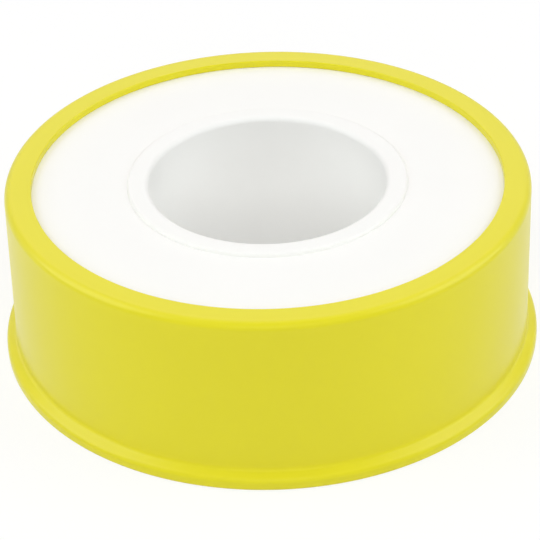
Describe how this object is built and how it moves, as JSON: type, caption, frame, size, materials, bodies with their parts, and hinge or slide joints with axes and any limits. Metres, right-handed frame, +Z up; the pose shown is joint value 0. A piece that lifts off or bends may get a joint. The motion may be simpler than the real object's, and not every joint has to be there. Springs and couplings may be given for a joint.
{
  "type": "roll of sealing tape",
  "caption": "Roll of white thread-sealing film on a bored spool, inside a yellow clip-on shell with a lip and a brim. The shell turns freely round the spool and lifts off.",
  "frame": {"origin": "middle of the base, where the roll's axis meets the surface that the shell's brim stands on", "axes": "+Z up along the roll's axis, from the brim towards the lip; the picture looks roughly along +Y, from above"},
  "size_m": [0.05, 0.05, 0.0166],
  "materials": {
    "shell_plastic": "satin yellow moulded plastic",
    "spool_plastic": "satin white moulded plastic",
    "tape_film": "soft white film, wound"
  },
  "bodies": {
    "spool": {"spool_hub": "spool_plastic", "tape_winding": "tape_film"},
    "top_disc": {"spool_disc": "spool_plastic"},
    "shell": {"outer_shell": "shell_plastic"}
  },
  "joints": [
    {"name": "shell_turn", "type": "hinge", "parent": "spool", "child": "top_disc", "pos_m": [0, 0, 0.0154], "axis": [0, 0, 1], "continuous": true},
    {"name": "shell_lift", "type": "slide", "parent": "top_disc", "child": "shell", "axis": [0, 0, 1], "range_m": [0, 0.025]}
  ]
}
